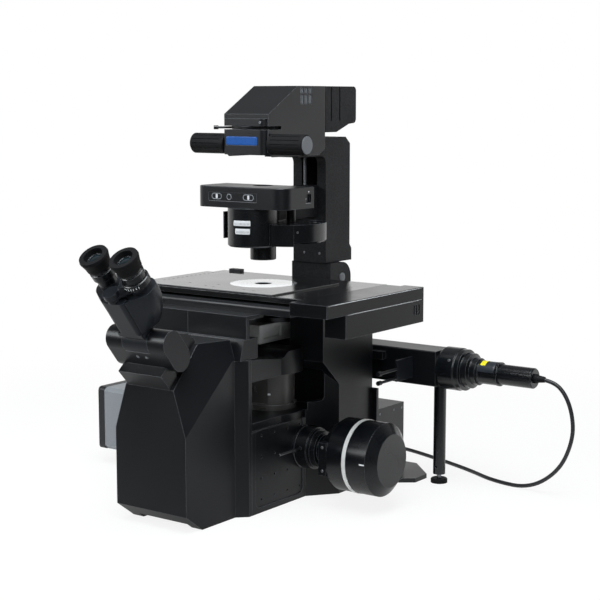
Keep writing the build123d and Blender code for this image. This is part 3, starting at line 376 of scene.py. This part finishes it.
eyeLens = {"slot": "lens_glass", "finish": coatedGlass, "radius": 11.0, "seat": 149.0, "rise": 3.0, "rim": 1.0}
eyeBezel = {"slot": "black_anodised", "finish": turnedBlack,
            "outline": [(13.8, -7.8), (14.2, -2.0), (14.3, 0.6), (13.6, 1.2), (11.6, 1.2), (10.9, 0.3)]}
bulge = np.linspace(0, np.pi / 2, 9)
dome = np.stack([eyeLens["radius"] * np.cos(bulge), eyeLens["rise"] * np.sin(bulge)], axis=-1)
lensOutline = np.concatenate([[(eyeLens["radius"], -eyeLens["rim"])], dome])
for side, word in bothSides:
    seat = eyePoint(side, eyeLens["seat"])
    makePiece({"name": "eye_bezel_" + word, "body": "prism_" + word, **eyeBezel},
              turnedRings(eyeBezel["outline"], seat, eyeUp))
    makePiece({"name": "eye_lens_" + word, "body": "prism_" + word, **eyeLens},
              turnedRings(lensOutline, seat, eyeUp))

# Scale ticks round the dioptre ring, the middle one longer
dioptreTicks = {"name": "dioptre_ticks", "body": "diopter", "slot": "white_insert", "finish": paleInk,
                "radius": 22.0, "along": 111.0, "count": 9, "step": 12.0, "size": (0.8, 4.0), "corner": 0.3,
                "longer": 1.5}
number = np.arange(dioptreTicks["count"]) - dioptreTicks["count"] // 2
turn = np.radians(number * dioptreTicks["step"])
tick = plateRings(dioptreTicks["size"], dioptreTicks["corner"], thinEdge(0.1, 0.12, 0.2), 12)
tickOut = np.cos(turn)[:, None] * -eyeBack + np.sin(turn)[:, None] * np.array([1.0, 0.0, 0.0])
tickAcross = np.cross(np.broadcast_to(eyeUp, tickOut.shape), tickOut)
tickLength = np.where(number == 0, dioptreTicks["longer"], 1.0)[:, None, None, None]
rings = (tick[None, ..., 0:1] * tickAcross[:, None, None] + tick[None, ..., 1:2] * tickLength * eyeUp
         + (tick[None, ..., 2:3] + dioptreTicks["radius"]) * tickOut[:, None, None]
         + eyePoint(1, dioptreTicks["along"]))
makePiece(dioptreTicks, rings)

# Bare blue plate on the front of the field stop
badge = {"name": "blue_plate", "body": "lamp_pillar", "slot": "white_insert", "finish": blueEnamel,
         "size": (66.4, 14.4), "corner": 1.5, "centre": (-5.5, -51.4, 613.5),
         "edge": ((0.0, 0.0), (0.0, 0.5), (0.15, 0.68), (0.4, 0.75))}
rings = plateRings(badge["size"], badge["corner"], badge["edge"])
makePiece(badge, setOn(rings, badge["centre"], *frontFace))

# Grey caps in the ends of the grips
gripCap = {"slot": "grey_shell", "body": "lamp_pillar", "finish": greyMoulding, "place": (-36.0, 608.0),
           "end": 120.0, "outline": [(15.0, -0.5), (15.0, 0.3), (14.5, 0.8), (8.0, 1.1)]}
for side, word in bothSides:
    start = (side * gripCap["end"], *gripCap["place"])
    makePiece({"name": "grip_cap_" + word, **gripCap}, turnedRings(gripCap["outline"], start, (side, 0, 0)))

# Pale printed windows round the condenser drum, with plain scale ticks. A plate's width is wrapped round the
# drum. A window is its middle and span in degrees, its low and its high edge; the ticks fill a share of it.
drumScale = {"body": "condenser", "slot": "white_insert", "radius": 43.5, "axis": (0.0, -28.0),
             "windows": ((-79.5, 43.0, 471.0, 480.0), (-77.5, 37.0, 457.0, 466.5)), "corner": 1.0,
             "ticks": 12, "reach": 0.42, "tickWidth": 0.5, "tickHeight": 0.45, "tickDrop": 1.2, "tickCorner": 0.2}


def wrapped(rings, middle, height):
    angle = np.radians(middle) + rings[..., 0] / drumScale["radius"]
    reach = drumScale["radius"] + rings[..., 2]
    return np.stack([drumScale["axis"][0] + reach * np.cos(angle), drumScale["axis"][1] + reach * np.sin(angle),
                     height + rings[..., 1]], axis=-1)


windowRings = []
tickRings = []
tickPlace = np.linspace(-drumScale["reach"], drumScale["reach"], drumScale["ticks"])
for middle, span, low, high in drumScale["windows"]:
    width, height = math.radians(span) * drumScale["radius"], high - low
    rings = plateRings((width, height), drumScale["corner"], thinEdge(0.3, 0.12, 0.2), 96)
    windowRings.append(wrapped(rings, middle, (low + high) / 2))
    rings = plateRings((drumScale["tickWidth"], height * drumScale["tickHeight"]), drumScale["tickCorner"],
                       thinEdge(0.1, 0.25, 0.3), 12)
    shift = tickPlace[:, None] * [width, 0.0, 0.0] - [0.0, drumScale["tickDrop"], 0.0]
    tickRings.append(wrapped(atPlaces(rings, shift), middle, (low + high) / 2))
makePiece({"name": "drum_windows", "finish": paleInk, **drumScale}, np.array(windowRings))
makePiece({"name": "drum_ticks", "finish": mouldedBlack, **drumScale}, np.concatenate(tickRings))

# Plain printed outlines with round ends on the condenser head's panel, each wide one with a bar in its middle.
# An outline is its middle, width and height.
panelMarks = {"body": "condenser", "slot": "white_insert", "face": -61.2, "line": 1.1,
              "outlines": ((-52.8, 519.0, 22.0, 10.4), (-25.7, 518.6, 10.4, 10.4), (15.9, 518.8, 23.0, 10.4)),
              "bars": ((-52.8, 519.0), (15.9, 518.8)), "barSize": (4.4, 7.4), "barCorner": 1.8}
outlineRings = []
for x, z, width, height in panelMarks["outlines"]:
    rings = plateRings((width, height), height / 2, bandEdge(-0.1, 0.15, panelMarks["line"]), 48, ())
    outlineRings.append(setOn(rings, (x, panelMarks["face"], z), *frontFace))
makePiece({"name": "panel_outlines", "finish": greyEnamel, **panelMarks}, np.array(outlineRings), band=True)
rings = plateRings(panelMarks["barSize"], panelMarks["barCorner"], thinEdge(0.1, 0.1, 0.15), 24)
rings = [setOn(rings, (x, panelMarks["face"], z), *frontFace) for x, z in panelMarks["bars"]]
makePiece({"name": "panel_bars", "finish": paleInk, **panelMarks}, np.array(rings))

# Grille bars in the hood's side vents: two in each slot
ventBars = {"name": "vent_bars", "body": "lamp_pillar", "slot": "grey_shell", "finish": greyMoulding,
            "face": 45.9, "columns": (49.75, 61.75, 73.75), "rows": ((675.0, 691.0), (693.0, 703.0)),
            "offset": 2.3, "width": 2.6, "corner": 0.8}
barRings = []
for column in ventBars["columns"]:
    for low, high in ventBars["rows"]:
        rings = plateRings((ventBars["width"], high - low), ventBars["corner"], thinEdge(0.4, 0.7, 1.2, 0.5), 24)
        for offset in (-ventBars["offset"], ventBars["offset"]):
            barRings.append(setOn(rings, (ventBars["face"], column + offset, (low + high) / 2), *rightFace))
makePiece(ventBars, np.array(barRings))

# Socket screws: a domed head with a six-sided socket; a ring's radius follows the hexagon's flats inside the
# socket. The profile is in shares of the head's radius, and its last rings are the socket's.
screwHead = {"slot": "bright_steel", "finish": groundSteel, "around": 36, "socket": 0.5, "socketRings": 2,
             "profile": [(1.0, -0.6), (1.0, 0.25), (0.85, 0.42), (0.62, 0.45), (0.5, 0.44), (0.5, -0.1)]}
# body, head radius, axis, places
screwPlaces = {
    "rear_box_screws": ("frame", 2.1, (1, 0, 0),
                        [(137.0, 164.0, 122.0), (137.0, 210.0, 122.0), (137.0, 237.0, 122.0)]),
    "camera_screws": ("frame", 2.4, (0, -1, 0), [(168.0, -59.0, 109.0), (168.0, -59.0, 69.0)]),
    "pillar_screws": ("lamp_pillar", 2.3, (0, -1, 0), [(-12.0, 138.0, 408.0), (22.0, 138.0, 408.0)]),
    "collar_screw": ("frame", 2.6, (0, -0.848, 0.53), [(266.0, 185.8, 231.1)]),
    "wheel_screw": ("condenser_turret", 2.0, (0.735, -0.678, 0), [(83.7, -13.2, 460.0)]),
    "latch_screw": ("condenser", 1.8, (1, 0, 0), [(87.6, 4.5, 516.0)]),
    "stop_screw": ("lamp_pillar", 2.2, (0, -1, 0), [(34.0, -51.5, 644.5)]),
    "arm_screws": ("frame", 1.8, (0, 0, 1),
                   [(209.4, 202.7, 241.9), (222.7, 227.2, 241.9), (207.9, 240.0, 241.9)]),
}
spin = (np.arange(screwHead["around"]) + 0.5) * 2 * np.pi / screwHead["around"]
hexagon = screwHead["socket"] / np.cos((spin + np.pi / 6) % (np.pi / 3) - np.pi / 6)
profile = np.array(screwHead["profile"])
inSocket = np.arange(len(profile))[:, None] >= len(profile) - screwHead["socketRings"]
headReach = np.where(inSocket, np.minimum(profile[:, :1], hexagon), profile[:, :1])
for name, (body, radius, axis, places) in screwPlaces.items():
    outline = np.stack([np.ones(len(profile)), profile[:, 1] * radius], axis=-1)
    rings = turnedRings(outline, (0, 0, 0), axis, screwHead["around"])
    middle = rings.mean(axis=1, keepdims=True)
    rings = (rings - middle) * headReach[:, :, None] * radius + middle
    makePiece({"name": name, "body": body, **screwHead}, atPlaces(rings, places))

# Two grey caps low on the tilt drum, and the cap over the pillar's pin
drumDots = {"name": "drum_dots", "body": "frame", "slot": "grey_shell", "finish": greyMoulding,
            "places": ((-5.2, -316.7, 281.9), (13.2, -316.7, 281.9)), "axis": (0, -0.782, -0.623),
            "outline": [(3.0, -1.5), (3.0, 0.3), (2.5, 0.7), (1.2, 0.8)]}
rings = turnedRings(drumDots["outline"], (0, 0, 0), drumDots["axis"], 32)
makePiece(drumDots, atPlaces(rings, drumDots["places"]))
pinCap = {"name": "pin_cap", "body": "frame", "slot": "grey_shell", "finish": greyMoulding,
          "place": (43.4, 179.0, 362.0), "outline": [(8.5, -0.4), (8.5, 0.4), (8.0, 0.8), (4.0, 1.0)]}
makePiece(pinCap, turnedRings(pinCap["outline"], pinCap["place"], (1, 0, 0)))

# Bare slate label round the upper half of the label tube, with its yellow patch
tubeLabel = {"name": "tube_label", "body": "frame", "slot": "yellow_band", "finish": slateVinyl, "radius": 20.3,
             "axis": (218.0, 211.0), "along": (317.0, 346.0), "turn": (12.0, 150.0), "lift": 0.15}
yellowPatch = {**tubeLabel, "name": "yellow_patch", "finish": yellowVinyl, "along": (317.5, 327.5),
               "turn": (46.0, 96.0), "lift": 0.3}
for label in (tubeLabel, yellowPatch):
    width = math.radians(label["turn"][1] - label["turn"][0]) * label["radius"]
    length = label["along"][1] - label["along"][0]
    rings = plateRings((length, width), 0.8, thinEdge(0.2, label["lift"], label["lift"] + 0.05), 96)
    angle = math.radians(sum(label["turn"]) / 2) + rings[..., 1] / label["radius"]
    reach = label["radius"] + rings[..., 2]
    makePiece(label, np.stack([sum(label["along"]) / 2 + rings[..., 0], label["axis"][0] - reach * np.cos(angle),
                               label["axis"][1] + reach * np.sin(angle)], axis=-1))

# White square on the filter turret, and pale strips of painted highlight along the drive wing's top edge and its
# seam
turretMark = {"name": "turret_mark", "body": "filter_turret", "slot": "white_insert", "finish": paleInk,
              "place": (45.0, -43.2, 181.5), "across": (0.84, 0.54, 0), "size": (5.0, 3.2)}
rings = plateRings(turretMark["size"], 0.4, thinEdge(1.0, 0.1, 0.2), 24)
makePiece(turretMark, setOn(rings, turretMark["place"], turretMark["across"], (0, 0, 1)))
# painted highlight: these pale strips stand in for light glinting on the wing's top edge and on its seam
wingGlints = {"name": "wing_painted_glints", "body": "frame", "slot": "bright_steel", "finish": paleInk, "face": 244.0,
            "strips": ((288.0, 1.0, -10.5, 363.2), (235.0, 0.8, 16.0, 343.0))}  # length, width, middle
wingGlintRings = []
for length, width, y, z in wingGlints["strips"]:
    rings = plateRings((length, width), 0.3, thinEdge(0.4, 0.05, 0.12), 24)
    wingGlintRings.append(setOn(rings, (wingGlints["face"], y, z), *rightFace))
makePiece(wingGlints, np.array(wingGlintRings))

# Bright sleeve on the port's clamp screw, and the bright stem above the leg's foot
clampSleeve = {"name": "clamp_sleeve", "body": "frame", "slot": "bright_steel", "finish": groundSteel,
               "place": (105.0, 0.0, 94.0), "axis": (0, -1, 0),
               "outline": [(1.9, 52.6), (2.0, 52.8), (2.0, 94.2), (1.7, 94.45)]}
footStem = {"name": "foot_stem", "body": "leg_foot", "slot": "bright_steel", "finish": groundSteel,
            "place": (230.0, 218.0, 0.0), "axis": (0, 0, 1),
            "outline": [(4.02, 8.02), (4.03, 8.2), (4.03, 15.6), (4.02, 15.8)]}
for pin in (clampSleeve, footStem):
    makePiece(pin, turnedRings(pin["outline"], pin["place"], pin["axis"], 32))

# Black moulded band round the outer end of the box camera
cameraBand = {"name": "camera_band", "body": "frame", "slot": "black_moulding", "finish": mouldedBlack,
              "centre": (-343.0, 0.0, 89.0), "size": (90.6, 118.6), "corner": 7.0, "length": 15.0, "wall": 0.35}
edge = bandEdge(0.0, cameraBand["length"], cameraBand["wall"])
rings = plateRings(cameraBand["size"], cameraBand["corner"], edge, 96, ())
makePiece(cameraBand, setOn(rings, cameraBand["centre"], *leftFace), band=True)

# Bright index mark on the round camera's cap
capMark = {"name": "cap_mark", "body": "frame", "slot": "bright_steel", "finish": paleInk,
           "place": (248.4, -61.9, 92.0), "size": (10.0, 2.4)}
rings = plateRings(capMark["size"], 0.5, thinEdge(0.4, 0.1, 0.2), 24)
makePiece(capMark, setOn(rings, capMark["place"], *frontFace))

# Tapped holes in the moving table, drawn as dark discs of painted shade along its left side and near its front
# painted shade: each disc stands in for the shade inside a hole
tableHoleShade = {"name": "table_hole_shade", "body": "stage_x_table", "slot": "black_rubber", "finish": mattRubber,
              "row": (-170.0, -66.0, 12.2, 12),  # x, first y, step, count
              "others": ((-109, -68), (-60, -84), (-42, -85), (25, -86), (45, -86), (-52, -59)),
              "outline": [(2.0, -0.3), (2.0, 0.04), (1.7, 0.06)]}
rowX, rowY, rowStep, rowCount = tableHoleShade["row"]
row = np.column_stack([np.full(rowCount, rowX), rowY + rowStep * np.arange(rowCount)])
places = np.concatenate([row, tableHoleShade["others"]])
places = np.column_stack([places, np.full(len(places), 1000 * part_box("stage_table")[1].z)])
makePiece(tableHoleShade, atPlaces(turnedRings(tableHoleShade["outline"], (0, 0, 0), (0, 0, 1), 24), places))

# Bright lip below the condenser head's side latch, and a pale dot above it
latchLip = {"name": "latch_lip", "body": "condenser", "slot": "bright_steel", "finish": groundSteel,
            "place": (90.0, 8.0, 508.7), "size": (15.6, 1.2)}
rings = plateRings(latchLip["size"], 0.5, thinEdge(0.4, 0.5, 0.6), 24)
makePiece(latchLip, setOn(rings, latchLip["place"], *rightFace))
latchDot = {"name": "latch_dot", "body": "condenser", "slot": "white_insert", "finish": paleInk,
            "place": (91.0, 9.0, 528.0), "outline": [(1.4, -0.3), (1.4, 0.08), (1.2, 0.1)]}
makePiece(latchDot, turnedRings(latchDot["outline"], latchDot["place"], (1, 0, 0), 24))

# Condenser front lens: the eyepiece's dome, wider, flatter and turned down
frontLens = {"name": "condenser_glass", "body": "condenser", "slot": "lens_glass", "finish": coatedGlass,
             "radius": 13.0, "flatter": 0.5, "rim": 0.5, "place": (0, 0, 408.4)}
domeScale = [frontLens["radius"] / eyeLens["radius"], -frontLens["flatter"]]
outline = np.concatenate([[(frontLens["radius"], frontLens["rim"])], dome * domeScale])
makePiece(frontLens, turnedRings(outline, frontLens["place"], (0, 0, 1)))
print("small pieces made")

# Light lead: the route runs out of the gland, down and along the bench, to a tied coil behind the stand.
# The coil's radius and height change with the turns: outer and inner turn below, then inner and outer above.
lightLead = {
    "name": "light_lead", "body": "frame", "slot": "black_cable", "diameter": 7.0, "length": 1.584,
    "route": [(421, 218, 211), (446, 218, 211), (470, 219, 196), (486, 221, 160), (485, 230, 112),
              (452, 248, 48), (388, 262, 3.5), (310, 272, 3.5), (240, 312, 3.5), (150, 350, 3.5),
              (55, 384, 3.5), (-10, 389, 3.5)],
    "coil": (-10.0, 347.0), "turns": 3.5, "perTurn": 24,
    "radii": ((0, 0.85, 1.15, 2.85, 3.15, 4), (42, 42, 35, 35, 42, 42)),
    "heights": ((0, 1.7, 2.1, 4), (3.5, 3.5, 10.5, 10.5)),
    "tail": [(13, 305, 10.5), (36, 305, 10.5)]}
turnNow = np.arange(1, int(lightLead["turns"] * lightLead["perTurn"]) + 1) / lightLead["perTurn"]
radius = np.interp(turnNow, *lightLead["radii"])
angle = np.pi / 2 + 2 * np.pi * turnNow
coil = np.column_stack([lightLead["coil"][0] + radius * np.cos(angle),
                        lightLead["coil"][1] + radius * np.sin(angle),
                        np.interp(turnNow, *lightLead["heights"])])
points = np.concatenate([lightLead["route"], coil, lightLead["tail"]])
leadCurve = bpy.data.curves.new(lightLead["name"], "CURVE")
leadCurve.dimensions = "3D"
leadCurve.bevel_depth = lightLead["diameter"] / 2000
leadCurve.bevel_resolution = 6
leadCurve.resolution_u = 8
leadCurve.use_fill_caps = True
line = leadCurve.splines.new("NURBS")
line.points.add(len(points) - 1)
line.points.foreach_set("co", np.column_stack([inMetres(points), np.ones(len(points))]).ravel())
line.order_u = 3
line.use_endpoint_u = True
leadCurve.materials.append(sheathPvc)
lead = bpy.data.objects.new(lightLead["name"], leadCurve)
bpy.context.collection.objects.link(lead)
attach(lead, lightLead["body"])
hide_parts("cable", "cable_coil")

# The coil's tie: a flat band round its section
coilTie = {"name": "coil_tie", "body": "frame", "slot": "black_rubber", "finish": mattRubber, "width": 9.0,
           "size": (15.6, 14.6), "corner": 3.5, "wall": 0.5, "middle": (-38.5, 7.35)}
edge = bandEdge(-coilTie["width"] / 2, coilTie["width"] / 2, coilTie["wall"])
rings = plateRings(coilTie["size"], coilTie["corner"], edge, 48, ())
tieCentre = (lightLead["coil"][0] + coilTie["middle"][0], lightLead["coil"][1], coilTie["middle"][1])
tie = makePiece(coilTie, setOn(rings, tieCentre, *frontFace), band=True)
print("light lead:", len(points), "points")

# Floor: a pale disc whose rings widen outwards; near the object it takes shadow, far off it fades to white
floorDisc = {"name": "floor", "radius": 14.0, "rings": 24, "around": 64, "fade": (0.55, 1.6), "veil": 0.86,
             "paper": "#F2F2F2"}
# In a glossy surface the floor is as bright as the studio round it: dim in front, bright behind
floorGleam = {"toward": (-0.45, 0.89, 0.0), "span": (-0.5, 0.4), "front": 0.05, "back": 0.9}
radius = np.linspace(0, 1, floorDisc["rings"])[:, None] ** 2 * floorDisc["radius"]
angle = np.linspace(0, 2 * np.pi, floorDisc["around"], endpoint=False)[None]
disc = np.stack([radius * np.cos(angle), radius * np.sin(angle), np.zeros(radius.shape) * angle], axis=-1)
index = np.arange(disc[..., 0].size).reshape(disc.shape[:2])
onward = np.roll(index, -1, axis=1)
quads = np.stack([index[:-1], index[1:], onward[1:], onward[:-1]], axis=-1).reshape(-1, 4)
floorMesh = bpy.data.meshes.new(floorDisc["name"])
floorMesh.from_pydata(disc.reshape(-1, 3).tolist(), [], quads.tolist())
skin = bmesh.new()
skin.from_mesh(floorMesh)
bmesh.ops.remove_doubles(skin, verts=skin.verts, dist=mergeGap)
skin.to_mesh(floorMesh)
skin.free()
floor = bpy.data.objects.new(floorDisc["name"], floorMesh)
bpy.context.collection.objects.link(floor)
paper = bpy.data.materials.new("white_paper_sweep")
paper.use_nodes = True
tree = paper.node_tree
tree.nodes.clear()
spot = addNode(tree, "TexCoord").outputs["Object"]
away = addNode(tree, "VectorMath", {0: spot}, operation="LENGTH")
fade = addNode(tree, "MapRange", {"Value": away.outputs["Value"], "From Min": floorDisc["fade"][0],
                                  "From Max": floorDisc["fade"][1], "To Min": floorDisc["veil"], "To Max": 1.0},
               interpolation_type="SMOOTHSTEP")
rays = addNode(tree, "LightPath").outputs
seen = addNode(tree, "Math", {0: rays["Is Camera Ray"], 1: rays["Is Glossy Ray"]}, operation="MAXIMUM")
seen = addNode(tree, "Math", {0: seen.outputs[0], 1: rays["Is Transmission Ray"]}, operation="MAXIMUM")
veil = addNode(tree, "Math", {0: seen.outputs[0], 1: fade.outputs["Result"]}, operation="MULTIPLY")
side = addNode(tree, "VectorMath", {0: spot, 1: floorGleam["toward"]}, operation="DOT_PRODUCT")
gleam = addNode(tree, "MapRange", {"Value": side.outputs["Value"], "From Min": floorGleam["span"][0],
                                   "From Max": floorGleam["span"][1], "To Min": floorGleam["front"],
                                   "To Max": floorGleam["back"]}, interpolation_type="SMOOTHSTEP")
level = addNode(tree, "Mix", {0: rays["Is Glossy Ray"], 2: 1.0, 3: gleam.outputs["Result"]})
matt = addNode(tree, "BsdfDiffuse", {"Color": linear(floorDisc["paper"])})
white = addNode(tree, "Emission", {"Color": (1, 1, 1, 1), "Strength": level.outputs[0]})
cover = addNode(tree, "MixShader", {0: veil.outputs[0], 1: matt.outputs[0], 2: white.outputs[0]})
addNode(tree, "OutputMaterial", {"Surface": cover.outputs[0]})
floorMesh.materials.append(paper)

# World: white where it is seen; on the object it is a bright low backdrop behind, dim above and in front
studio = {"front": 0.05, "back": 1.0, "ceiling": 0.22, "toward": (-0.45, 0.89, 0.0), "backSpan": (0.0, 0.55),
          "ceilingSpan": (0.2, 0.5)}
world = bpy.data.worlds.new("studio")
bpy.context.scene.world = world
world.use_nodes = True
tree = world.node_tree
tree.nodes.clear()
rays = addNode(tree, "LightPath").outputs
aim = addNode(tree, "TexCoord").outputs["Generated"]
facing = addNode(tree, "VectorMath", {0: aim, 1: studio["toward"]}, operation="DOT_PRODUCT")
backdrop = addNode(tree, "MapRange", {"Value": facing.outputs["Value"], "From Min": studio["backSpan"][0],
                                      "From Max": studio["backSpan"][1], "To Min": studio["front"],
                                      "To Max": studio["back"]}, interpolation_type="SMOOTHSTEP")
upward = addNode(tree, "SeparateXYZ", {0: aim})
dim = addNode(tree, "MapRange", {"Value": upward.outputs["Z"], "From Min": studio["ceilingSpan"][0],
                                 "From Max": studio["ceilingSpan"][1], "To Min": 1.0,
                                 "To Max": studio["ceiling"]}, interpolation_type="SMOOTHSTEP")
room = addNode(tree, "Math", {0: backdrop.outputs["Result"], 1: dim.outputs["Result"]}, operation="MULTIPLY")
clear = addNode(tree, "Math", {0: rays["Is Camera Ray"], 1: rays["Is Transmission Ray"]}, operation="MAXIMUM")
level = addNode(tree, "Mix", {0: clear.outputs[0], 2: room.outputs[0], 3: 1.0})
glow = addNode(tree, "Background", {"Color": (1, 1, 1, 1), "Strength": level.outputs[0]})
addNode(tree, "OutputWorld", {"Surface": glow.outputs[0]})

# Soft boxes: place, aim point, size in metres, power in watts
softBoxes = {"above": ((0.5, -0.7, 2.6), (0, 0, 0.3), 2.0, 90),
             "right": ((2.0, -2.1, 1.9), (0, 0, 0.35), 1.4, 24),
             "left": ((-1.7, -2.0, 1.5), (0, 0, 0.3), 1.2, 30)}
coolWhite = (0.93, 0.97, 1.0)
for name, (place, target, size, power) in softBoxes.items():
    lampData = bpy.data.lights.new(name, "AREA")
    lampData.size = size
    lampData.energy = power
    lampData.color = coolWhite
    lamp = bpy.data.objects.new(name, lampData)
    lamp.location = place
    reach = np.array(target, float) - np.array(place, float)
    lamp.rotation_euler = (math.acos(-reach[2] / np.linalg.norm(reach)), 0, math.atan2(-reach[0], reach[1]))
    bpy.context.collection.objects.link(lamp)
print("light and floor set")
